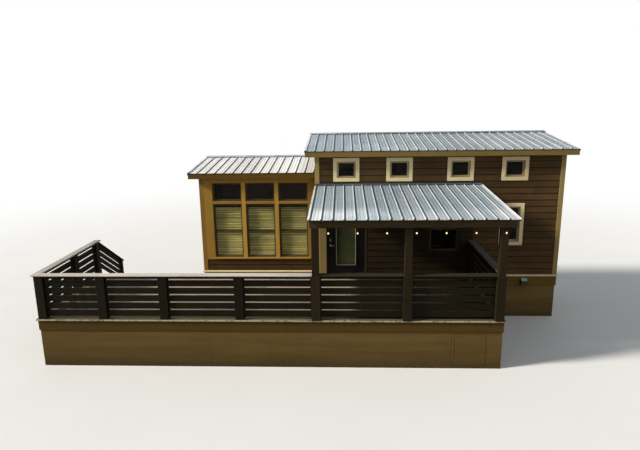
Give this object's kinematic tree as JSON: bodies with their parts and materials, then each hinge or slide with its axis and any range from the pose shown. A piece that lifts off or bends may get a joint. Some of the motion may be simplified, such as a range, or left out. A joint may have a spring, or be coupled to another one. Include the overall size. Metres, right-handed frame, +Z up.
{
  "type": "tiny house with annex, porch and raised deck",
  "caption": "Small cabin with low metal shed roofs, glazed annex, covered porch, raised railed deck on closed skirts and one hinged entry door.",
  "frame": {"origin": "centre of the bounding box on the ground", "axes": "+X to the right along the front, +Y from the front to the back, +Z up"},
  "size_m": [12.206, 5.3554, 4.6563],
  "materials": {
    "tan_panel": "painted panel, matt",
    "tan_trim": "painted board, matt",
    "brown_siding": "dark stained lap boards",
    "tan_siding": "dark stained lap boards",
    "roof_metal": "ribbed bare coated sheet, satin",
    "roof_wood": "planed timber",
    "porch_wood": "dark stained timber",
    "rail_wood": "dark stained boards",
    "cap_wood": "weathered grey-brown boards",
    "deck_wood": "weathered boards",
    "edge_wood": "weathered pale boards",
    "floor_wood": "floor boards",
    "door_black": "black paint, satin",
    "lite_frame": "pale moulding",
    "glass": "clear",
    "blind": "white slats",
    "nickel": "satin nickel",
    "sash": "dark bronze",
    "vent": "pale plastic",
    "bulb": "lit bulbs on a black cord"
  },
  "bodies": {
    "house": {"deck_skirt_front": "tan_panel", "deck_skirt_sides": "tan_panel", "deck_skirt_back": "tan_panel", "access_hatch": "tan_panel", "house_skirt_front": "tan_panel", "house_skirt_ends": "tan_panel", "house_skirt_back": "tan_panel", "skirt_bands": "tan_trim", "exhaust_vent": "vent", "deck_floor": "deck_wood", "deck_edge": "edge_wood", "house_floor": "floor_wood", "loft_floor": "floor_wood", "front_wall_left": "brown_siding", "front_wall_right": "brown_siding", "front_wall_upper": "brown_siding", "left_wall": "brown_siding", "right_wall": "brown_siding", "back_wall": "brown_siding", "annex_front_wall": "tan_siding", "annex_left_wall": "tan_siding", "annex_back_wall": "tan_siding", "main_roof": "roof_metal", "annex_roof": "roof_metal", "porch_roof": "roof_metal", "main_roof_frame": "roof_wood", "annex_roof_frame": "roof_wood", "porch_roof_frame": "porch_wood", "roof_caps": "roof_metal", "fascia_boards": "tan_trim", "porch_beam": "porch_wood", "porch_posts": "porch_wood", "door_frame": "door_black", "door_hinges": "nickel", "window_frames": "sash", "window_glass": "glass", "annex_blinds": "blind", "window_casings": "tan_trim", "corner_boards": "tan_trim", "rail_posts": "rail_wood", "front_rail_boards": "rail_wood", "left_rail_boards": "rail_wood", "right_rail_boards": "rail_wood", "front_rail_cap": "cap_wood", "side_rail_caps": "cap_wood", "step_stringers": "rail_wood", "step_treads": "edge_wood", "step_rail": "rail_wood", "string_lights": "bulb"},
    "door": {"entry_door": "door_black", "door_lite": "lite_frame", "door_glass": "glass", "door_blind": "blind", "door_handle": "nickel"}
  },
  "joints": [
    {"name": "entry_door_hinge", "type": "hinge", "parent": "house", "child": "door", "pos_m": [0.9595, 0.4914, 2.165], "axis": [0, 0, -1], "range_deg": [0, 95]}
  ]
}
